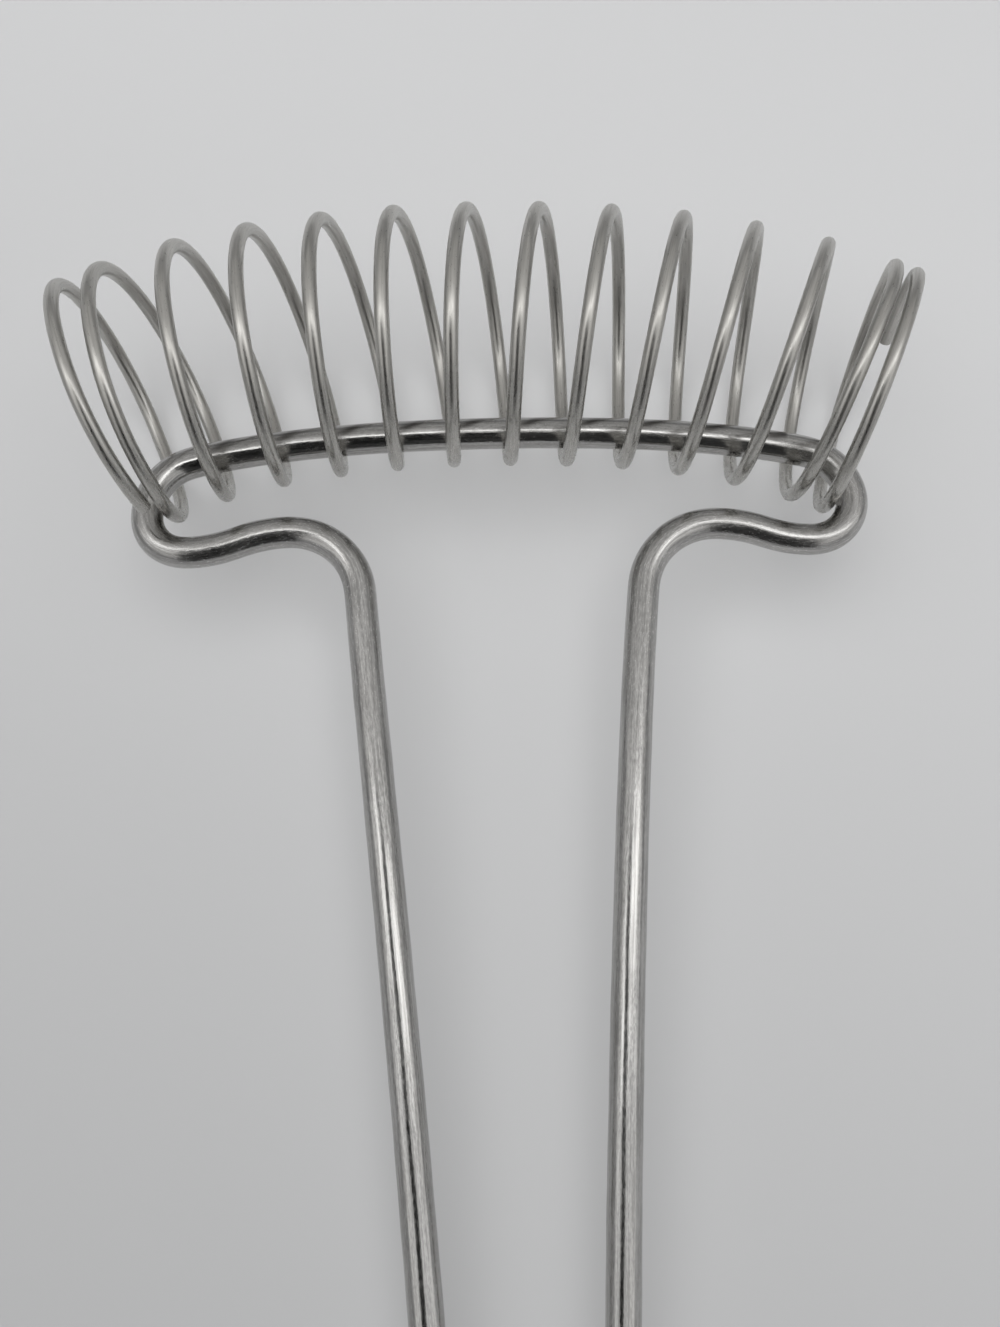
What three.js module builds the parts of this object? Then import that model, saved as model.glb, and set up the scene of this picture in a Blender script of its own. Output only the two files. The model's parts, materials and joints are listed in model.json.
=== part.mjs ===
import * as THREE from 'three';

// Driving dimensions in millimetres and degrees. The head is laid out in the rod's own plane:
// u to the right, v away from the handle, n square to the plane, with 0 at the middle of the top bar.
const rodDia = 4.0;          // heavy rod of the frame
const wireDia = 1.8;         // coil wire
const coilDia = 31.1;        // mean diameter of one turn
const coilPitch = 8.23;      // even pitch along the coil's axis
const evenTurns = 11.33;     // turns at that pitch
const leftTurns = 0.937;     // closed-up turns at the left end
const leftPitch = 2.0;
const rightTurns = 1.26;     // closed-up turns at the right end
const rightPitch = 2.44;
const firstTuck = 0.95;      // the left corner presses the first turn in by this much at the bar
const coilShift = -0.305;    // middle of the even turns, from the handle's axis
const startPhase = 0.578;    // where on the turn the left end lies, 0 at the top and 0.5 at the bar
const coilDrop = 8.4;        // how far the coil's ends droop below its middle
const coilFlat = 0.67;       // share of that droop that is a plain parabola
const leanEnd = 20.5;        // the turns fan out to this angle at the ends
const coilTilt = 14.5;       // the coil stands up from the rod's plane by this angle
const coilRise = 3.0;        // and its axis lies this far over the tilted plane
const turnSkew = 0.09;       // each turn crosses the bar squarely and advances on its far side
const skewFan = 0.037;       // more of that at the right end, less at the left
const seatGap = 0.4;         // between coil and bar
const endGap = 0.65;         // between the end turns and the corners
const headShift = 0.9;       // the head sits this far to the right of the handle's axis
const shiftFade = 15;        // and the legs take it up over this length
const archDrop = 3.3;        // the top bar falls this much from its middle to the corners
const archEnd = 12.8;        // slope of the bar where the corner starts
const cornerR = 7.4;         // centreline radius of the corners where they leave the bar
const curlRoom = 9.9;        // clear depth under the bar for the wire in the corners
const shoulderRun = 13.05;   // from the low point of a corner to the crest of its shoulder
const shoulderRise = 2.5;
const legBendR = 9.2;
const legBend = 84.8;        // angle that the shoulder turns into the leg
const handleLen = 236;       // from the bar to the start of the end bend
const endHalf = 5.7;         // half the spacing of the legs at the end bend
const legBow = 1.8;          // exponent of the legs' gentle bow

const rodSides = 12;
const wireSides = 6;
const stepsPerTurn = 20;

const rad = (deg) => deg * Math.PI / 180;
const span = (from, to, count) => Array.from({ length: count }, (_, i) => from + (to - from) * (i + 1) / count);

// Coil
const coilR = coilDia / 2;
const seat = coilR - wireDia / 2 - rodDia / 2 - seatGap;
const coilSeat = Math.sqrt(seat * seat - coilRise * coilRise);
const totalTurns = leftTurns + evenTurns + rightTurns;
const axisLen = leftTurns * leftPitch + evenTurns * coilPitch + rightTurns * rightPitch;
const half = axisLen / 2;

function alongAxis(turn) {
  const left = Math.min(turn, leftTurns);
  const even = Math.min(Math.max(turn - leftTurns, 0), evenTurns);
  const right = Math.max(turn - leftTurns - evenTurns, 0);
  return coilShift + (left - leftTurns) * leftPitch + (even - evenTurns / 2) * coilPitch + right * rightPitch;
}

function coilPoint(turn) {
  const s = alongAxis(turn);
  const x = s / half;
  const fall = coilDrop * (coilFlat * x ** 2 + (1 - coilFlat) * x ** 4);
  const lean = rad(leanEnd) * x;
  const phase = 2 * Math.PI * (turn + startPhase);
  const skew = coilR * Math.sin(phase) * (turnSkew + skewFan * (2 * turn / totalTurns - 1));
  const out = coilR * Math.cos(phase);
  const tuck = turn + startPhase < 2 ? firstTuck * Math.min(0, Math.cos(phase)) ** 2 : 0;
  const u = s + out * Math.sin(lean) + skew * Math.cos(lean) + tuck;
  const w = coilSeat - fall + out * Math.cos(lean) - skew * Math.sin(lean);
  const n = coilRise - coilR * Math.sin(phase);
  const c = Math.cos(rad(coilTilt));
  const k = Math.sin(rad(coilTilt));
  return new THREE.Vector3(u, w * c - n * k, w * k + n * c);
}

const coilSteps = Math.round(totalTurns * stepsPerTurn);
const coilPath = [];
for (let i = 0; i <= coilSteps; i++) coilPath.push(coilPoint(totalTurns * i / coilSteps));
const runOut = (tip, next) => tip.clone().sub(next).setLength(wireDia).add(tip);
coilPath.unshift(runOut(coilPoint(0), coilPoint(0.004)));
coilPath.push(runOut(coilPoint(totalTurns), coilPoint(totalTurns - 0.004)));

function leastSelfGap(path, stepsApart) {
  let least = Infinity;
  for (let i = 0; i < path.length; i++) {
    for (let j = i + stepsApart; j < path.length; j++) least = Math.min(least, path[i].distanceTo(path[j]));
  }
  return least - wireDia;
}
const finePath = [];
for (let i = 0; i <= coilSteps * 5; i++) finePath.push(coilPoint(totalTurns * i / coilSteps / 5));
console.log(`coil: least gap to itself ${leastSelfGap(finePath, stepsPerTurn * 5 / 2).toFixed(2)} mm`);

// Frame: the corners are as far out as the end turns need, and as deep as the wire needs
const bottomTurn = 1.5 - startPhase;
const lastBottom = Math.floor(totalTurns + startPhase - 0.5) + 0.5 - startPhase;
const reach = Math.max(headShift - coilPoint(bottomTurn).x, coilPoint(lastBottom).x - headShift);
const cornerU = reach + wireDia / 2 + endGap + rodDia / 2;
const curlV = -(rodDia / 2 + wireDia + curlRoom + rodDia / 2);

function halfPath() {
  const start = Math.PI / 2 - rad(archEnd);
  const upperU = cornerU - cornerR;
  const upperV = -archDrop - cornerR * Math.sin(start);
  const curlR = upperV - curlV;
  const curlU = cornerU - curlR;
  const barEnd = upperU + cornerR * Math.cos(start);
  const flat = 2 - Math.tan(rad(archEnd)) * barEnd / (2 * archDrop);
  const points = [];
  const add = (u, v) => points.push([u, v]);
  for (const x of span(0, 1, 12)) add(barEnd * x, -archDrop * (flat * x ** 2 + (1 - flat) * x ** 4));
  for (const a of span(start, 0, 7)) add(upperU + cornerR * Math.cos(a), upperV + cornerR * Math.sin(a));
  for (const a of span(0, -Math.PI / 2, 7)) add(curlU + curlR * Math.cos(a), upperV + curlR * Math.sin(a));
  const shoulderR = (shoulderRun ** 2 + shoulderRise ** 2) / (4 * shoulderRise);
  const swing = 2 * Math.atan2(shoulderRise, shoulderRun);
  for (const a of span(0, swing, 4)) add(curlU - shoulderR * Math.sin(a), curlV + shoulderR * (1 - Math.cos(a)));
  const crestU = curlU - shoulderRun;
  const crestV = curlV + shoulderRise;
  for (const a of span(swing, 0, 4)) add(crestU + shoulderR * Math.sin(a), crestV - shoulderR * (1 - Math.cos(a)));
  for (const a of span(0, rad(legBend), 8)) add(crestU - legBendR * Math.sin(a), crestV - legBendR * (1 - Math.cos(a)));
  const [legU, legV] = points[points.length - 1];
  for (const x of span(1, 0, 14)) add(endHalf + (legU - endHalf) * x ** legBow, -handleLen + (legV + handleLen) * x);
  for (const a of span(0, -Math.PI / 2, 7)) add(endHalf * Math.cos(a), -handleLen + endHalf * Math.sin(a));
  return points;
}

// The shift of the head fades out down the top of the legs
function shifted(u, v) {
  const fade = Math.exp(Math.min(0, (v - curlV / 1.5) / shiftFade));
  return new THREE.Vector3(u + headShift * fade, v, 0);
}
const right = halfPath();
const rodPath = [shifted(0, 0)];
for (const [u, v] of right) rodPath.push(shifted(u, v));
for (const [u, v] of right.slice(0, -1).reverse()) rodPath.push(shifted(-u, v));

// Tube round a path: ring corners at half steps, so that a flat faces along the reference normal
function tube(path, dia, sides, closed, reference) {
  const count = path.length;
  const positions = [];
  const index = [];
  let normal = reference.clone();
  path.forEach((point, i) => {
    const before = path[closed ? (i + count - 1) % count : Math.max(i - 1, 0)];
    const after = path[closed ? (i + 1) % count : Math.min(i + 1, count - 1)];
    const inDir = point.clone().sub(before).normalize();
    const outDir = after.clone().sub(point).normalize();
    const tangent = inDir.clone().add(outDir).normalize();
    normal = normal.clone().addScaledVector(tangent, -normal.dot(tangent)).normalize();
    const side = new THREE.Vector3().crossVectors(tangent, normal);
    for (let k = 0; k < sides; k++) {
      const a = 2 * Math.PI * (k + 0.5) / sides;
      const offset = normal.clone().multiplyScalar(Math.cos(a)).addScaledVector(side, Math.sin(a));
      positions.push(...point.clone().addScaledVector(offset, dia / 2).toArray());
    }
  });
  const rings = closed ? count : count - 1;
  for (let i = 0; i < rings; i++) {
    for (let k = 0; k < sides; k++) {
      const a = i * sides + k;
      const b = i * sides + (k + 1) % sides;
      const c = ((i + 1) % count) * sides + k;
      const d = ((i + 1) % count) * sides + (k + 1) % sides;
      index.push(a, b, d, a, d, c);
    }
  }
  if (!closed) {
    for (let k = 1; k < sides - 1; k++) {
      index.push(0, k + 1, k);
      const last = (count - 1) * sides;
      index.push(last, last + k, last + k + 1);
    }
  }
  const geometry = new THREE.BufferGeometry();
  geometry.setAttribute('position', new THREE.Float32BufferAttribute(positions, 3));
  geometry.setIndex(index);
  return geometry;
}

// The part lies on a table on its end turns and the end of the handle
const restV = -handleLen - endHalf;
const lift = Math.max(...coilPath.map((p) => Math.atan2(wireDia / 2 - rodDia / 2 - p.z, p.y - restV)));
const lay = new THREE.Matrix4().makeRotationX(lift);

const steel = (name, colour) => new THREE.MeshStandardMaterial({ name, color: colour, metalness: 1, roughness: 0.35 });
const nodes = [
  ['handle_frame', tube(rodPath, rodDia, rodSides, true, new THREE.Vector3(0, 0, 1)), steel('rod_steel', 0x9a9a98)],
  ['whisk_coil', tube(coilPath, wireDia, wireSides, false, new THREE.Vector3(1, 0, 0)), steel('wire_steel', 0xaaa9a6)],
];
const box = new THREE.Box3();
for (const [, geometry] of nodes) {
  geometry.applyMatrix4(lay);
  geometry.computeBoundingBox();
  box.union(geometry.boundingBox);
}
const centre = box.getCenter(new THREE.Vector3());
const place = new THREE.Vector3(-centre.x, -centre.y, -box.min.z);
const hinge = new THREE.Vector3(headShift, 0, 0).applyMatrix4(lay).add(place);
console.log(`bar middle at ${hinge.toArray().map((x) => x.toFixed(3))}, frame slope ${(lift * 180 / Math.PI).toFixed(3)} degrees`);

const whisk = new THREE.Group();
whisk.name = 'whisk';
for (const [name, geometry, material] of nodes) {
  geometry.translate(place.x, place.y, place.z);
  geometry.computeVertexNormals();
  const mesh = new THREE.Mesh(geometry, material);
  mesh.name = name;
  whisk.add(mesh);
}
export default whisk;
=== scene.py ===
import json

import bpy
import numpy as np
from mathutils import Matrix


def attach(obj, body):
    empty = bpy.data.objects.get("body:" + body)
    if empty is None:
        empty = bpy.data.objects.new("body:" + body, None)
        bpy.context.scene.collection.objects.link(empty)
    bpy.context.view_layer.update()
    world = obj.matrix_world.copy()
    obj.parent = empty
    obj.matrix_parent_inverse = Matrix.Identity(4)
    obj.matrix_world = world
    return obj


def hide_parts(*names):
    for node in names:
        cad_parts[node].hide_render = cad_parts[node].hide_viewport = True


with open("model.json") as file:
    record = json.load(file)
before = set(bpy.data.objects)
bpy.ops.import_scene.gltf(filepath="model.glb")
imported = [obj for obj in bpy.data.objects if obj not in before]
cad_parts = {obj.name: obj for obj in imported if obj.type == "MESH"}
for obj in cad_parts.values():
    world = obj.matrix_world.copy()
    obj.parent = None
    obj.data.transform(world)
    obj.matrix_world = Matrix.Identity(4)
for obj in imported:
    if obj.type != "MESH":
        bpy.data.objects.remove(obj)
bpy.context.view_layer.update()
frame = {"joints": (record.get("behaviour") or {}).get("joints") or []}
scene = bpy.context.scene
scene.view_settings.view_transform = "Standard"
mm = 0.001

# The head is laid out in the rod's own plane, in mm: u to the right, v away from the handle, n up.
# Zero is where the handle's axis meets the top bar.
layout = {
    "slope": 2.469,           # the whisk lies on its coil and the end of its handle, so the frame slopes
    "headShift": 0.9,         # the head sits this far to the right of the handle's axis
}
barMiddle = np.array(frame["joints"][0]["pos_m"])


def turnedAboutU(points, degrees):
    # v' = v cos - n sin and n' = v sin + n cos
    u, v, n = np.moveaxis(np.asarray(points, float), -1, 0)
    cos, sin = np.cos(np.radians(degrees)), np.sin(np.radians(degrees))
    return np.stack([u, v * cos - n * sin, v * sin + n * cos], axis=-1)


def toRow(points):
    # from the layout to the row's frame: sloped, carried to the bar's middle and made metres
    fromBar = np.asarray(points, float) - [layout["headShift"], 0, 0]
    return barMiddle + mm * turnedAboutU(fromBar, layout["slope"])


def placed(axes, place):
    # a world matrix from three axes, one to a column, and a place
    matrix = np.eye(4)
    matrix[:3, :3] = axes
    matrix[:3, 3] = place
    return Matrix(matrix.tolist())


# Camera
viewPoint = {
    "focalPixels": 1308.0,
    "pictureHeight": 1327.0,                # in the same pixels
    "sensor": 36.0,
    "clipStart": 0.005,
    "tilt": 15.936,
    "yaw": -2.141,
    "roll": -1.420,
    "offset": (-0.845, -29.990, 170.542),   # the layout's zero seen from the camera: right, down, ahead
}


def addCamera():
    tilt, yaw, roll = np.radians([viewPoint["tilt"], viewPoint["yaw"], viewPoint["roll"]])
    tilted = np.array([[1, 0, 0], [0, np.cos(tilt), np.sin(tilt)], [0, -np.sin(tilt), np.cos(tilt)]])
    yawed = np.array([[np.cos(yaw), 0, np.sin(yaw)], [0, 1, 0], [-np.sin(yaw), 0, np.cos(yaw)]])
    rolled = np.array([[np.cos(roll), -np.sin(roll), 0], [np.sin(roll), np.cos(roll), 0], [0, 0, 1]])
    seen = rolled @ yawed @ tilted @ np.diag([1, -1, -1])   # rows: right, down and ahead, in u, v, n
    place = toRow(-seen.T @ np.array(viewPoint["offset"]))
    rightUpBack = turnedAboutU(seen * [[1], [-1], [-1]], layout["slope"])
    data = bpy.data.cameras.new("photoCamera")
    data.sensor_width = viewPoint["sensor"]
    data.lens = viewPoint["sensor"] * viewPoint["focalPixels"] / viewPoint["pictureHeight"]
    data.clip_start = viewPoint["clipStart"]
    camera = bpy.data.objects.new("photoCamera", data)
    camera.matrix_world = placed(rightUpBack.T, place)
    scene.collection.objects.link(camera)
    scene.camera = camera


addCamera()
print("camera placed")


# Paths, rings and meshes
def unit(vectors):
    return vectors / np.linalg.norm(vectors, axis=-1, keepdims=True)


def runLength(path):
    # distance along a path at each of its points
    steps = np.linalg.norm(np.diff(path, axis=0), axis=1)
    return np.concatenate([[0.0], np.cumsum(steps)])


def evenly(path, count):
    # the path walked at equal steps
    along = runLength(path)
    wanted = np.linspace(0, along[-1], count)
    return np.stack([np.interp(wanted, along, column) for column in path.T], axis=1)


def eased(path, width, step):
    # a closed path averaged with a bell curve, out to three widths, so that one bend runs into the next
    reach = int(np.ceil(3 * width / step))
    weights = np.exp(-0.5 * (np.arange(-reach, reach + 1) * step / width) ** 2)
    weights /= weights.sum()
    padded = np.concatenate([path[-reach:], path, path[:reach]])
    return np.stack([np.convolve(column, weights, "valid") for column in padded.T], axis=1)


def ringAngles(sides):
    return 2 * np.pi * np.arange(sides) / sides


def tubeRings(path, across, radius, sides, closed):
    # a circle carried square to the path: path + radius * (cos a * across + sin a * (tangent x across))
    if closed:
        tangent = unit(np.roll(path, -1, axis=0) - np.roll(path, 1, axis=0))
    else:
        tangent = unit(np.gradient(path, axis=0))
    across = unit(across - np.sum(across * tangent, axis=1, keepdims=True) * tangent)
    beside = np.cross(tangent, across)
    angle = ringAngles(sides)[:, None]
    outward = np.cos(angle) * across[:, None] + np.sin(angle) * beside[:, None]
    return path[:, None] + radius[..., None] * outward


def tubeFaces(rings, sides, closed):
    # quads between neighbouring rings, wound to face out
    ring = np.arange(rings if closed else rings - 1)[:, None]
    side = np.arange(sides)[None, :]
    nextRing = (ring + 1) % rings
    nextSide = (side + 1) % sides
    corners = [
        ring * sides + side,
        ring * sides + nextSide,
        nextRing * sides + nextSide,
        nextRing * sides + side,
    ]
    return np.stack(corners, axis=-1).reshape(-1, 4)


def drawnAlong(along, radius, sides):
    # what the finishes follow, in mm: distance along the metal and place on its round
    angle = ringAngles(sides)
    parts = np.broadcast_arrays(along[:, None], radius * np.cos(angle), radius * np.sin(angle))
    return np.stack(parts, axis=-1).reshape(-1, 3)


creaseAngle = 50              # edges sharper than this many degrees stay crisp


def addMesh(name, points, *faceArrays):
    mesh = bpy.data.meshes.new(name)
    faces = [face for faceArray in faceArrays for face in faceArray.tolist()]
    mesh.from_pydata(points.tolist(), [], faces)
    mesh.polygons.foreach_set("use_smooth", np.ones(len(faces), bool))
    mesh.set_sharp_from_angle(angle=np.radians(creaseAngle))
    mesh.update()
    piece = bpy.data.objects.new(name, mesh)
    scene.collection.objects.link(piece)
    return piece


def setAttribute(piece, name, kind, values):
    made = piece.data.attributes.new(name, kind, "POINT")
    field = "vector" if kind == "FLOAT_VECTOR" else "value"
    made.data.foreach_set(field, np.asarray(values, np.float32).ravel())


# Frame of bent rod
rod = {
    "dia": 4.0,
    "cornerOut": 45.24,       # from the head's middle to the centreline of a corner
    "archDrop": 3.3,          # the bar falls this much to its corners
    "archEnd": 12.8,          # slope of the bar where a corner starts
    "cornerRadius": 7.4,
    "curlDrop": 15.7,         # the corners' low points under the bar
    "shoulderRun": 13.05,
    "shoulderRise": 2.5,
    "legBendRadius": 9.2,
    "legBend": 84.8,
    "handleLength": 236.0,
    "endHalf": 5.7,           # half the spacing of the legs at the end bend
    "legBow": 1.8,            # exponent of the legs' gentle bow
    "shiftKept": 1.5,         # the head keeps its shift down to the corners' drop over this,
    "shiftFade": 15.0,        # and the legs take it up over this length
    "easing": 0.8,            # width over which one bend runs into the next
    "waver": 0.010,           # how far the drawn surface strays from round,
    "waverRates": (0.83, 0.31),   # in two waves, of this many radians a mm along the rod,
    "waverStart": 1.7,        # the second of which starts here
    "rubMiddle": -1.5,        # v of the middle of what the coil has rubbed smooth
    "rubSpread": 4.5,
    "handledFrom": -25.0,     # v below which hands have smoothed the legs
    "handledRun": 90.0,       # more and more over this length
    "barSteps": 400,
    "arcSteps": 160,
    "legSteps": 500,
    "rings": 1900,
    "sides": 44,
    "name": "bent_rod_frame",
}


def arc(centre, radius, start, end):
    angle = np.linspace(start, end, rod["arcSteps"])
    return np.stack([centre[0] + radius * np.cos(angle), centre[1] + radius * np.sin(angle)], axis=1)


def rightHalf():
    # bar arch, two corner arcs, an S of two equal arcs, the leg's bend and bow, a quarter of the end bend
    start = np.pi / 2 - np.radians(rod["archEnd"])
    radius = rod["cornerRadius"]
    upper = np.array([rod["cornerOut"] - radius, -rod["archDrop"] - radius * np.sin(start)])
    barEnd = upper[0] + radius * np.cos(start)
    flat = 2 - np.tan(np.radians(rod["archEnd"])) * barEnd / (2 * rod["archDrop"])
    x = np.linspace(0, 1, rod["barSteps"])
    bar = np.stack([barEnd * x, -rod["archDrop"] * (flat * x ** 2 + (1 - flat) * x ** 4)], axis=1)
    curlRadius = upper[1] + rod["curlDrop"]
    curl = np.array([rod["cornerOut"] - curlRadius, upper[1]])
    low = np.array([curl[0], -rod["curlDrop"]])
    run, rise = rod["shoulderRun"], rod["shoulderRise"]
    crest = low + [-run, rise]
    bendRadius = (run ** 2 + rise ** 2) / (4 * rise)
    swing = 2 * np.arctan2(rise, run)
    legRadius, legTurn = rod["legBendRadius"], np.radians(rod["legBend"])
    up, down = np.pi / 2, -np.pi / 2
    pieces = [
        bar,
        arc(upper, radius, start, 0),
        arc(curl, curlRadius, 0, down),
        arc(low + [0, bendRadius], bendRadius, down, down - swing),
        arc(crest - [0, bendRadius], bendRadius, up - swing, up),
        arc(crest - [0, legRadius], legRadius, up, up + legTurn),
    ]
    legU, legV = pieces[-1][-1]
    x = np.linspace(1, 0, rod["legSteps"])
    bowed = rod["endHalf"] + (legU - rod["endHalf"]) * x ** rod["legBow"]
    pieces.append(np.stack([bowed, -rod["handleLength"] + (legV + rod["handleLength"]) * x], axis=1))
    pieces.append(arc((0, -rod["handleLength"]), rod["endHalf"], 0, down))
    return np.concatenate([pieces[0]] + [piece[1:] for piece in pieces[1:]])


def rodCentreline():
    # both halves as one closed run from the end bend, the head's shift fading out down the legs
    half = rightHalf()
    mirrored = half * [-1, 1]
    loop = np.concatenate([mirrored[::-1], half[1:]])
    belowHead = np.minimum(0, loop[:, 1] + rod["curlDrop"] / rod["shiftKept"])
    loop[:, 0] += layout["headShift"] * np.exp(belowHead / rod["shiftFade"])
    walked = evenly(loop, rod["rings"] + 1)[:-1]
    step = runLength(loop)[-1] / rod["rings"]
    return eased(walked, rod["easing"], step), step


def addFrame():
    flat, step = rodCentreline()
    along = step * np.arange(len(flat))
    sides = rod["sides"]
    # one wave with two lobes round the rod and one with three, as drawing and bending leave them
    firstRate, secondRate = rod["waverRates"]
    firstWave = np.sin(firstRate * along)[:, None] * np.cos(2 * ringAngles(sides))
    secondWave = np.sin(secondRate * along + rod["waverStart"])[:, None] * np.sin(3 * ringAngles(sides))
    radius = rod["dia"] / 2 + rod["waver"] * (firstWave + secondWave)
    path = np.column_stack([flat, np.zeros(len(flat))])
    downwards = np.tile([0.0, 0.0, -1.0], (len(path), 1))
    rings = tubeRings(path, downwards, radius, sides, True)
    piece = addMesh(rod["name"], toRow(rings.reshape(-1, 3)), tubeFaces(len(path), sides, True))
    # a flat-topped bell over the bar, and a ramp down the legs
    overBar = np.exp(-((flat[:, 1] - rod["rubMiddle"]) / rod["rubSpread"]) ** 4)
    handled = np.clip((rod["handledFrom"] - flat[:, 1]) / rod["handledRun"], 0, 1)
    setAttribute(piece, "drawn", "FLOAT_VECTOR", drawnAlong(along, rod["dia"] / 2, sides))
    setAttribute(piece, "rubbed", "FLOAT", np.repeat(overBar, sides))
    setAttribute(piece, "handled", "FLOAT", np.repeat(handled, sides))
    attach(piece, "frame")
    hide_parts("handle_frame")
    return piece


bentRod = addFrame()
print("rod frame:", len(bentRod.data.polygons), "faces")


# Coil of wire
coil = {
    "wireDia": 1.8,
    "meanDia": 31.1,
    "pitch": 8.23,
    "evenTurns": 11.33,
    "leftTurns": 0.937,       # closed-up turns at the ends
    "leftPitch": 2.0,
    "rightTurns": 1.26,
    "rightPitch": 2.44,
    "firstTuck": 0.95,        # the left corner presses the first turn in at the bar
    "shift": -0.305,          # middle of the even turns, from the handle's axis
    "startPhase": 0.578,      # 0 at the top of a turn, 0.5 at the bar
    "drop": 8.4,              # droop of the ends under the middle
    "flat": 0.67,             # share of the droop that is a plain parabola
    "leanEnd": 20.5,          # the turns fan out to this angle at the ends
    "tilt": 14.5,             # the coil stands up from the rod's plane
    "rise": 3.0,              # and its axis lies this far over the tilted plane
    "skew": 0.09,             # a turn crosses the bar squarely and advances on its far side
    "skewFan": 0.037,         # more so at the right end, less at the left
    "seatGap": 0.4,
    "endRadius": 0.22,        # rounding of the cut ends
    "endSteps": 4,
    "wear": (1.6, 0.6),       # how steeply the wear at the bar sets in, and where
    "rings": 2900,
    "sides": 24,
    "name": "whisk_wire_coil",
}


def coilTurns():
    return coil["leftTurns"] + coil["evenTurns"] + coil["rightTurns"]


def coilCentreline(turn):
    # a left-handed helix on a drooping axis, its turns fanned out and skewed, stood up about the bar
    radius = coil["meanDia"] / 2
    seat = radius - coil["wireDia"] / 2 - rod["dia"] / 2 - coil["seatGap"]
    height = np.sqrt(seat ** 2 - coil["rise"] ** 2)
    half = (coil["leftTurns"] * coil["leftPitch"] + coil["evenTurns"] * coil["pitch"]
            + coil["rightTurns"] * coil["rightPitch"]) / 2
    left = np.minimum(turn, coil["leftTurns"]) - coil["leftTurns"]
    even = np.clip(turn - coil["leftTurns"], 0, coil["evenTurns"]) - coil["evenTurns"] / 2
    right = np.maximum(turn - coil["leftTurns"] - coil["evenTurns"], 0)
    s = coil["shift"] + left * coil["leftPitch"] + even * coil["pitch"] + right * coil["rightPitch"]
    x = s / half
    fall = coil["drop"] * (coil["flat"] * x ** 2 + (1 - coil["flat"]) * x ** 4)
    lean = np.radians(coil["leanEnd"]) * x
    phase = 2 * np.pi * (turn + coil["startPhase"])
    skew = radius * np.sin(phase) * (coil["skew"] + coil["skewFan"] * (2 * turn / coilTurns() - 1))
    out = radius * np.cos(phase)
    firstTurn = turn + coil["startPhase"] < 2
    tuck = firstTurn * coil["firstTuck"] * np.minimum(0, np.cos(phase)) ** 2
    path = np.stack([
        s + out * np.sin(lean) + skew * np.cos(lean) + tuck,
        height - fall + out * np.cos(lean) - skew * np.sin(lean),
        coil["rise"] - radius * np.sin(phase),
    ], axis=1)
    axis = np.stack([s, height - fall, np.full_like(s, coil["rise"])], axis=1)
    return turnedAboutU(path, coil["tilt"]), turnedAboutU(axis, coil["tilt"])


def addCoil():
    turn = np.linspace(0, coilTurns(), coil["rings"])
    path, axis = coilCentreline(turn)
    # straight ends one wire diameter long, their rims rounded off to a flat cut
    quarter = np.linspace(0, np.pi / 2, coil["endSteps"] + 1)
    rim = coil["wireDia"] - coil["endRadius"] + coil["endRadius"] * np.sin(quarter)
    tips = np.concatenate([coil["wireDia"] * np.array([0.25, 0.5, 0.75]), rim])
    ends = len(tips)
    head = unit(path[:1] - path[1:2])
    tail = unit(path[-1:] - path[-2:-1])
    outward = np.pad(path - axis, ((ends, ends), (0, 0)), mode="edge")
    path = np.concatenate([path[:1] + tips[::-1, None] * head, path, path[-1:] + tips[:, None] * tail])
    radius = np.full(len(path), coil["wireDia"] / 2)
    drawnIn = coil["endRadius"] * (1 - np.cos(quarter))
    radius[-len(drawnIn):] -= drawnIn
    radius[:len(drawnIn)] -= drawnIn[::-1]
    sides = coil["sides"]
    rings = tubeRings(path, outward, radius[:, None], sides, False)
    # a fan of triangles from a middle point closes each end
    points = np.concatenate([rings.reshape(-1, 3), path[:1], path[-1:]])
    headPole, tailPole = len(points) - 2, len(points) - 1
    side = np.arange(sides)
    nextSide = (side + 1) % sides
    lastRing = (len(path) - 1) * sides
    fans = np.concatenate([
        np.stack([np.full(sides, headPole), nextSide, side], axis=1),
        np.stack([np.full(sides, tailPole), lastRing + side, lastRing + nextSide], axis=1),
    ])
    piece = addMesh(coil["name"], toRow(points), tubeFaces(len(path), sides, False), fans)
    along = runLength(path)
    poles = [[along[0], 0, 0], [along[-1], 0, 0]]
    drawn = np.concatenate([drawnAlong(along, coil["wireDia"] / 2, sides), poles])
    # worn where each turn hangs on the bar
    steepness, onset = coil["wear"]
    phase = 2 * np.pi * (np.pad(turn, ends, mode="edge") + coil["startPhase"])
    worn = np.clip(-steepness * np.cos(phase) - onset, 0, 1)
    setAttribute(piece, "drawn", "FLOAT_VECTOR", drawn)
    setAttribute(piece, "rubbed", "FLOAT", np.concatenate([np.repeat(worn, sides), worn[[0, -1]]]))
    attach(piece, "coil")
    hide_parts("whisk_coil")
    return piece


wireCoil = addCoil()
print("coil:", len(wireCoil.data.polygons), "faces")

# Slanted dark lines on the bar: partly where the turns have rubbed it, partly painted reflections of the
# turns, with painted shade over the bar's upper side between them
barRubAndReflection = {
    "start": 1.5,             # beside a turn's crossing
    "slant": 4.6,             # how far a line moves along the bar on its way to the far side
    "width": 1.25,
    "lowest": -5.0,           # only the bar, down to this v
    "reach": 38.0,            # and out to this u
    "paintedTopShade": 0.22,             # painted shade between the lines, darkening the bar's upper side
    "fade": 5.0,              # how steeply the lines fade at their two ends
    "samples": 6000,          # points of the coil looked at for crossings
}


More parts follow.
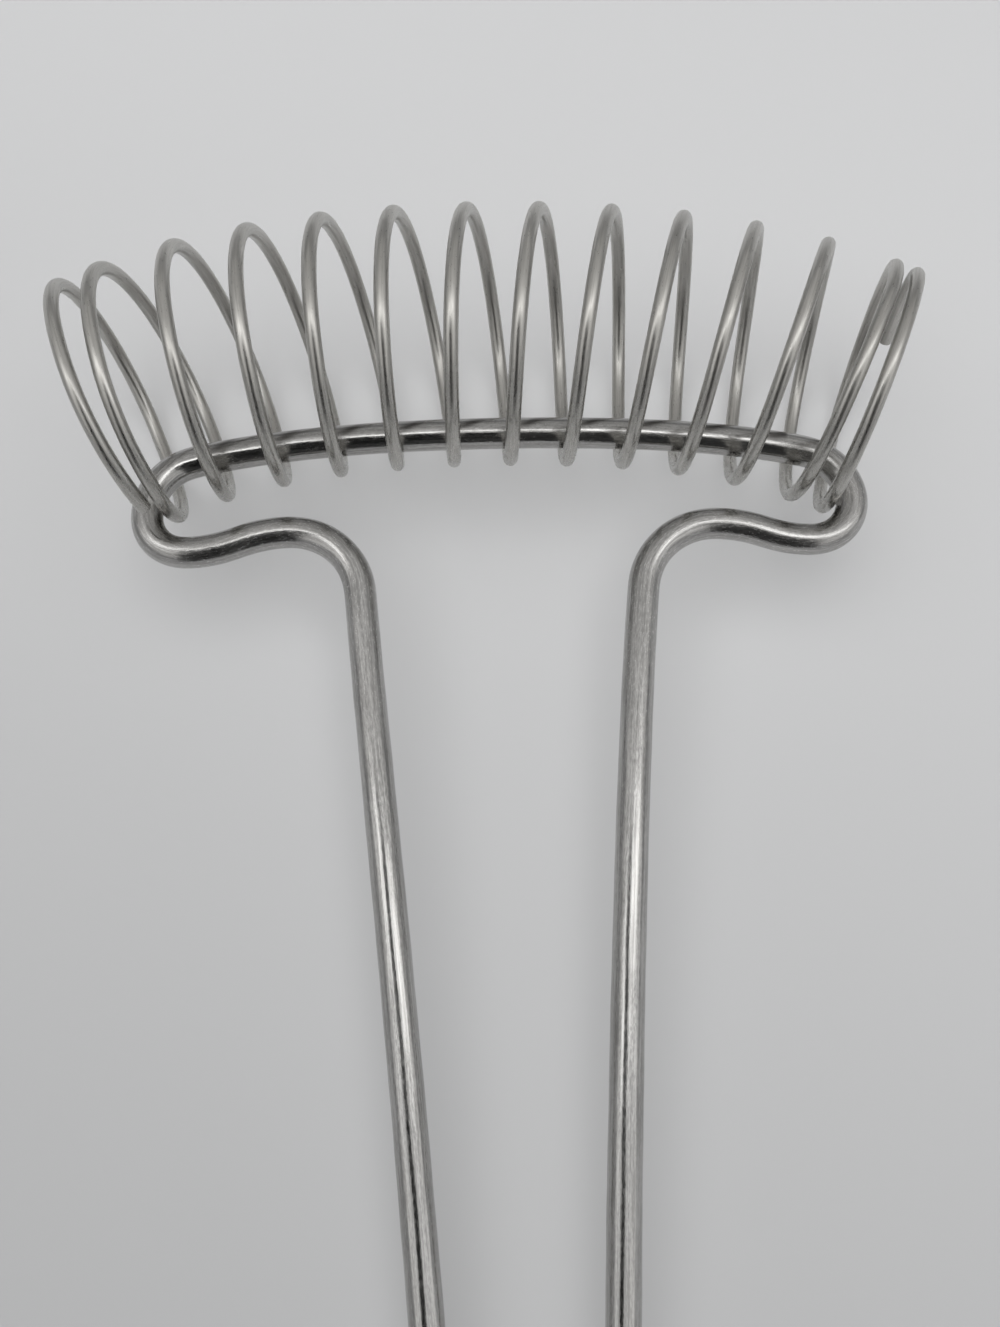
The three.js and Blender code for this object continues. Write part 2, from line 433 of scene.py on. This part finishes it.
def paintBarRubAndReflection():
    # from each turn's crossing, a line that moves along the bar as it climbs round its far side: rub mark
    # and painted reflection of the turn
    path = coilCentreline(np.linspace(0, coilTurns(), barRubAndReflection["samples"]))[0]
    crossing = (path[:-1, 1] > 0) != (path[1:, 1] > 0)
    onTop = path[:-1, 2] > 0
    starts = path[:-1, 0][crossing & onTop] + barRubAndReflection["start"]
    flat = rodCentreline()[0]
    climb = 2 - 4 * np.arange(rod["sides"]) / rod["sides"]      # 0 on top of the bar, 1 at its far side
    offset = flat[:, None, 0] - barRubAndReflection["slant"] * climb
    nearest = np.min(np.abs(offset[..., None] - starts), axis=-1)
    # the lines are darkest; between them the painted shade keeps the bar's upper side darker
    lines = np.maximum(barRubAndReflection["paintedTopShade"], np.exp(-(nearest / barRubAndReflection["width"]) ** 2))
    onBar = (flat[:, 1] > barRubAndReflection["lowest"]) & (np.abs(flat[:, 0]) < barRubAndReflection["reach"])
    begun = np.clip(barRubAndReflection["fade"] * climb + 0.5, 0, 1)
    ended = np.clip(1 + barRubAndReflection["fade"] * (1 - climb), 0, 1)
    setAttribute(bentRod, "rubLinesAndPaintedReflection", "FLOAT", onBar[:, None] * begun * ended * lines)


paintBarRubAndReflection()


# Steel finishes
def addNode(tree, kind, **settings):
    made = tree.nodes.new(kind)
    for key, value in settings.items():
        setattr(made, key, value)
    return made


def feed(tree, socket, value):
    # a link where the value comes from a node, or else a plain number or colour
    if isinstance(value, bpy.types.NodeSocket):
        tree.links.new(value, socket)
    else:
        socket.default_value = value


def setInputs(tree, made, **inputs):
    for key, value in inputs.items():
        feed(tree, made.inputs[key.replace("_", " ")], value)


def mathNode(tree, operation, first, second, clamp=False):
    made = addNode(tree, "ShaderNodeMath", operation=operation, use_clamp=clamp)
    feed(tree, made.inputs[0], first)
    feed(tree, made.inputs[1], second)
    return made.outputs[0]


def plus(tree, first, second):
    return mathNode(tree, "ADD", first, second)


def times(tree, first, second):
    return mathNode(tree, "MULTIPLY", first, second)


def ranged(tree, value, span, result=(0.0, 1.0)):
    # eased from one span of values to another
    made = addNode(tree, "ShaderNodeMapRange", interpolation_type="SMOOTHSTEP")
    setInputs(tree, made, Value=value, From_Min=span[0], From_Max=span[1],
              To_Min=result[0], To_Max=result[1])
    return made.outputs["Result"]


def noise(tree, vector, scale, detail, roughness=0.55):
    made = addNode(tree, "ShaderNodeTexNoise")
    setInputs(tree, made, Vector=vector, Scale=scale, Detail=detail, Roughness=roughness)
    return made.outputs["Fac"]


def blend(tree, factor, first, second):
    made = addNode(tree, "ShaderNodeMix", data_type="RGBA")
    setInputs(tree, made, Factor=factor, A=first, B=second)
    return made.outputs["Result"]


def attribute(tree, name, output):
    return addNode(tree, "ShaderNodeAttribute", attribute_name=name).outputs[output]


def colourRamp(tree, factor, stops, tint, blending):
    # levels of one tint at places from 0 to 1
    ramp = addNode(tree, "ShaderNodeValToRGB")
    ramp.color_ramp.interpolation = blending
    elements = ramp.color_ramp.elements
    for _ in range(len(stops) - len(elements)):
        elements.new(0.5)
    for element, (place, level) in zip(elements, stops):
        element.position = place
        element.color = (*(level * part for part in tint), 1)
    tree.links.new(factor, ramp.inputs["Fac"])
    return ramp.outputs["Color"]


def newMaterial(name):
    material = bpy.data.materials.new(name)
    material.use_nodes = True
    return material, material.node_tree, material.node_tree.nodes["Principled BSDF"]


def newGroup(name, inputs, outputs):
    # inputs say their kind, and every output is a value
    group = bpy.data.node_groups.new(name, "ShaderNodeTree")
    for label, kind in inputs.items():
        group.interface.new_socket(label, in_out="INPUT", socket_type="NodeSocket" + kind)
    for label in outputs:
        group.interface.new_socket(label, in_out="OUTPUT", socket_type="NodeSocketFloat")
    return group, group.nodes.new("NodeGroupInput"), group.nodes.new("NodeGroupOutput")


# Layers of the drawn surface: the stretch of each along the metal, its noise and its share of the height
grainLayers = {
    "lines": {"stretch": (0.03, 1, 1), "detail": 4.0, "roughness": 0.65, "height": 0.65},
    "grain": {"stretch": (0.22, 1, 1), "detail": 3.0, "roughness": 0.65, "height": 0.35},
    "cloud": {"stretch": (0.25, 1, 1), "detail": 2.0, "roughness": 0.55, "scale": 0.35},
}


def makeDrawnGrain():
    # drawing lines along the wire, a fine pitted grain and slow clouds, each about 0.5,
    # and the height that the lines and the grain make
    group, given, result = newGroup(
        "drawnGrain",
        {"Drawn": "Vector", "Line Spread": "Float", "Grain Size": "Float"},
        ("Lines", "Grain", "Cloud", "Height"),
    )

    def layerNoise(layer, scale):
        stretched = addNode(group, "ShaderNodeVectorMath", operation="MULTIPLY")
        feed(group, stretched.inputs[0], given.outputs["Drawn"])
        feed(group, stretched.inputs[1], layer["stretch"])
        return noise(group, stretched.outputs[0], scale, layer["detail"], layer["roughness"])

    lineLayer, grainLayer, cloudLayer = grainLayers["lines"], grainLayers["grain"], grainLayers["cloud"]
    lines = layerNoise(lineLayer, given.outputs["Line Spread"])
    grain = layerNoise(grainLayer, mathNode(group, "DIVIDE", 1.0, given.outputs["Grain Size"]))
    cloud = layerNoise(cloudLayer, cloudLayer["scale"])
    height = plus(group, times(group, lines, lineLayer["height"]),
                  times(group, grain, grainLayer["height"]))
    setInputs(group, result, Lines=lines, Grain=grain, Cloud=cloud, Height=height)
    return group


# Scuffs and pits of rubbed metal: the turn and stretch of scuffs, and for both the noise and what shows
rubPattern = {
    "turn": 32,
    "stretch": (0.25, 1.6, 1.6),
    "scuff": {"scale": 1.1, "detail": 3.0, "span": (0.5, 0.68)},
    "pits": {"scale": 4.2, "detail": 2.0, "span": (0.60, 0.70)},
}


def makeRubMarks():
    # short scuffs that run at a slant to the length, with pits, kept to where the mask is
    group, given, result = newGroup("rubMarks", {"Drawn": "Vector", "Mask": "Float"}, ("Scuff", "Pits"))
    drawn, mask = given.outputs["Drawn"], given.outputs["Mask"]
    turned = addNode(group, "ShaderNodeMapping")
    setInputs(group, turned, Vector=drawn, Rotation=(0, 0, np.radians(rubPattern["turn"])),
              Scale=rubPattern["stretch"])

    def masked(vector, marks):
        shown = ranged(group, noise(group, vector, marks["scale"], marks["detail"]), marks["span"])
        return times(group, shown, mask)

    setInputs(group, result, Scuff=masked(turned.outputs["Vector"], rubPattern["scuff"]),
              Pits=masked(drawn, rubPattern["pits"]))
    return group


drawnGrain = makeDrawnGrain()
rubMarks = makeRubMarks()

# What rod and wire share: the spans of cloud and grain that count, and how much rougher a scuff is
steelSpans = {"cloud": (0.35, 0.75), "grain": (0.3, 0.7), "scuffRough": 0.10}


def steel(name, look):
    material, tree, shader = newMaterial(name)
    shader.inputs["Metallic"].default_value = 1.0
    drawn = attribute(tree, "drawn", "Vector")
    grain = addNode(tree, "ShaderNodeGroup", node_tree=drawnGrain)
    setInputs(tree, grain, Drawn=drawn, Line_Spread=look["lineSpread"], Grain_Size=look["grainSize"])
    marks = addNode(tree, "ShaderNodeGroup", node_tree=rubMarks)
    setInputs(tree, marks, Drawn=drawn, Mask=attribute(tree, "rubbed", "Fac"))
    # colour: drawn lines and grain, then stains, scuffs, the bar's rubbed lines with their painted
    # reflections and painted shade, and pits over them
    tone = plus(tree, times(tree, grain.outputs["Grain"], look["grainShare"]),
                times(tree, grain.outputs["Lines"], 1 - look["grainShare"]))
    colour = blend(tree, ranged(tree, tone, look["toneRange"]), look["dark"], look["light"])
    clouds = ranged(tree, grain.outputs["Cloud"], steelSpans["cloud"], (0.0, look["cloud"]))
    colour = blend(tree, clouds, colour, look["stain"])
    colour = blend(tree, times(tree, marks.outputs["Scuff"], look["scuff"]), colour, look["stain"])
    # darkening by masks: on the rod, the bar's rubbed lines, partly painted reflections of the turns, and
    # the painted shade between them
    for mask, share in look["darkened"].items():
        colour = blend(tree, times(tree, attribute(tree, mask, "Fac"), share), colour, look["pit"])
    colour = blend(tree, times(tree, marks.outputs["Pits"], look["pits"]), colour, look["pit"])
    # roughness: by the grain, more in scuffs, less where the metal is worn smooth
    rough = ranged(tree, grain.outputs["Grain"], steelSpans["grain"], look["rough"])
    rough = plus(tree, rough, times(tree, marks.outputs["Scuff"], steelSpans["scuffRough"]))
    for mask, change in look["smoothed"].items():
        rough = plus(tree, rough, times(tree, attribute(tree, mask, "Fac"), change))
    # relief, which wear has flattened
    height = grain.outputs["Height"]
    kept = 1.0
    for mask, share in look["flattened"].items():
        kept = mathNode(tree, "SUBTRACT", kept, times(tree, attribute(tree, mask, "Fac"), share))
    bump = addNode(tree, "ShaderNodeBump")
    setInputs(tree, bump, Height=times(tree, height, kept),
              Strength=look["bump"], Distance=look["bumpDepth"])
    setInputs(tree, shader, Base_Color=colour, Roughness=rough, Normal=bump.outputs["Normal"])
    return material


rodLook = {
    "dark": (0.31, 0.306, 0.298, 1),
    "light": (0.53, 0.524, 0.512, 1),
    "stain": (0.30, 0.293, 0.282, 1),
    "pit": (0.10, 0.095, 0.09, 1),
    "lineSpread": 3.4,
    "grainSize": 0.17,
    "grainShare": 0.4,
    "toneRange": (0.37, 0.63),
    "cloud": 0.25,
    "scuff": 0.35,
    "pits": 0.35,
    # the bar's rubbed lines, partly painted reflections of the turns, with painted shade between them
    "darkened": {"rubLinesAndPaintedReflection": 0.9},
    "rough": (0.17, 0.28),
    "smoothed": {"rubbed": -0.07, "handled": -0.04},
    "flattened": {"rubbed": 0.35, "handled": 0.55},
    "bump": 0.42,
    "bumpDepth": 0.00006,
}
wireLook = {
    "dark": (0.38, 0.372, 0.352, 1),
    "light": (0.56, 0.55, 0.524, 1),
    "stain": (0.33, 0.322, 0.305, 1),
    "pit": (0.12, 0.115, 0.105, 1),
    "lineSpread": 6.0,
    "grainSize": 0.22,
    "grainShare": 0.15,
    "toneRange": (0.24, 0.76),
    "cloud": 0.35,
    "scuff": 0.45,
    "pits": 0.50,
    "darkened": {},
    "rough": (0.27, 0.36),
    "smoothed": {"rubbed": -0.07},
    "flattened": {},
    "bump": 0.03,
    "bumpDepth": 0.00004,
}
bentRod.data.materials.append(steel("rodSatinSteel", rodLook))
wireCoil.data.materials.append(steel("wireSatinSteel", wireLook))
print("finishes made")


# Table, in metres
table = {
    "flat": 0.5,              # level out to this radius
    "rim": 2.0,
    "rise": 0.80,             # of the rim over the level part
    "rings": 60,
    "sides": 96,
    "tint": (0.994, 0.998, 1.006),
    "lean": 0.4,              # how much the painted light falloff also changes towards the right
    "paintedFalloff": ((-1.20, 0.50), (-0.12, 0.39), (0.20, 0.62), (0.90, 0.36)),   # y, and the grey there: painted light falloff and shade, darkest near -0.12, lightest near 0.2 and darker again far off
    "rough": 0.9,
}


def addTable():
    # a disc that is level to one radius and then rises to its rim as the square of the rest
    reach = np.linspace(0, 1, table["rings"])[1:] * table["rim"]
    past = np.clip(reach - table["flat"], 0, None) / (table["rim"] - table["flat"])
    height = table["rise"] * past ** 2
    angle = ringAngles(table["sides"])
    x = reach[:, None] * np.cos(angle)
    y = reach[:, None] * np.sin(angle)
    grid = np.stack([x, y, np.broadcast_to(height[:, None], x.shape)], axis=-1).reshape(-1, 3)
    quads = tubeFaces(len(reach), table["sides"], False)[:, ::-1]
    side = np.arange(table["sides"])
    fan = np.stack([np.full(len(side), len(grid)), side, (side + 1) % len(side)], axis=1)
    floor = addMesh("pale_table", np.concatenate([grid, [[0, 0, 0]]]), quads, fan)
    material, tree, shader = newMaterial("paleTable")
    split = addNode(tree, "ShaderNodeSeparateXYZ")
    tree.links.new(addNode(tree, "ShaderNodeTexCoord").outputs["Object"], split.inputs["Vector"])
    place = plus(tree, split.outputs["Y"], times(tree, split.outputs["X"], table["lean"]))
    # the table's grey is painted light falloff and shade, not a colour of the table
    first, last = table["paintedFalloff"][0][0], table["paintedFalloff"][-1][0]
    away = addNode(tree, "ShaderNodeMapRange")
    setInputs(tree, away, Value=place, From_Min=first, From_Max=last)
    stops = [((y - first) / (last - first), tone) for y, tone in table["paintedFalloff"]]
    grey = colourRamp(tree, away.outputs["Result"], stops, table["tint"], "EASE")
    setInputs(tree, shader, Base_Color=grey, Roughness=table["rough"], Specular_IOR_Level=0.0)
    floor.data.materials.append(material)


addTable()

# What the metal mirrors, by the angle from straight up to the far side: a pale room with a bright ceiling
room = {
    "glow": ((-90, 0.55), (-40, 0.80), (-18, 1.00), (-3, 1.10), (14, 0.62), (45, 0.55), (90, 0.36)),
    "tint": (1.0, 0.995, 0.985),
}


def addRoom():
    world = bpy.data.worlds.new("room")
    scene.world = world
    world.use_nodes = True
    tree = world.node_tree
    split = addNode(tree, "ShaderNodeSeparateXYZ")
    tree.links.new(addNode(tree, "ShaderNodeTexCoord").outputs["Generated"], split.inputs["Vector"])
    forward = mathNode(tree, "ARCTAN2", split.outputs["Y"], split.outputs["Z"])
    turned = mathNode(tree, "ADD", mathNode(tree, "DIVIDE", forward, np.pi), 0.5, clamp=True)
    stops = [(angle / 180 + 0.5, level) for angle, level in room["glow"]]
    glow = colourRamp(tree, turned, stops, room["tint"], "B_SPLINE")
    tree.links.new(glow, tree.nodes["Background"].inputs["Color"])
    world.cycles_visibility.diffuse = False     # the suns light the table


addRoom()

# A wide sun and a shadowless one light the table, and a ceiling strip is there for the metal to mirror
suns = {
    "overheadSun": {"from": (-0.15, 0.0, 1.0), "spread": 80, "strength": 1.75, "shadow": True},
    "fillSun": {"from": (0.0, 0.0, 1.0), "spread": 2, "strength": 1.35, "shadow": False},
}
strip = {"place": (0.0, 0.068, 0.42), "aim": (0.0, 0.068, 0.0), "size": (0.8, 0.07), "watts": 0.33}


def placeLight(name, data, place, aim):
    # a light looks down its own -Z, here from its place to its aim
    light = bpy.data.objects.new(name, data)
    back = unit(np.array(place, float) - aim)
    right = unit(np.cross([0, 1, 0], back))
    light.matrix_world = placed(np.stack([right, np.cross(back, right), back], axis=1), place)
    scene.collection.objects.link(light)
    return light


def addSuns():
    for name, sun in suns.items():
        data = bpy.data.lights.new(name, "SUN")
        data.energy = sun["strength"]
        data.angle = np.radians(sun["spread"])
        data.use_shadow = sun["shadow"]
        placeLight(name, data, sun["from"], (0.0, 0.0, 0.0)).visible_glossy = False


def addStrip():
    data = bpy.data.lights.new("ceilingStrip", "AREA")
    data.shape = "RECTANGLE"
    data.size, data.size_y = strip["size"]
    data.energy = strip["watts"]
    placeLight("ceilingStrip", data, strip["place"], strip["aim"]).visible_diffuse = False


addSuns()
addStrip()

# Dark cards that only the metal sees: one at the camera and a tall one behind the handle, in metres
cards = {
    "camera_card": {
        "lowX": (-0.074, 0.0),
        "highX": (-0.074, 0.0),
        "y": (-0.096, 0.078),
        "z": (0.121, 0.177),
        "tone": 0.02,
        "rough": 0.9,
    },
    "standing_card": {
        "lowX": (-0.20, 0.20),
        "highX": (-0.42, 0.42),
        "y": (-0.46, -0.46),
        "z": (0.0, 1.55),
        "tone": 0.10,
        "rough": 0.9,
    },
}


def addCards():
    for name, card in cards.items():
        (near, far), (low, high) = card["y"], card["z"]
        lowEdge = [[x, near, low] for x in card["lowX"]]
        highEdge = [[x, far, high] for x in card["highX"][::-1]]
        sheet = addMesh(name, np.array(lowEdge + highEdge), np.array([[0, 1, 2, 3]]))
        material, tree, shader = newMaterial(name)
        tone = (card["tone"], card["tone"], card["tone"], 1)
        setInputs(tree, shader, Base_Color=tone, Roughness=card["rough"])
        sheet.data.materials.append(material)
        sheet.visible_camera = False
        sheet.visible_shadow = False
        sheet.visible_diffuse = False


addCards()
print("table and light set")
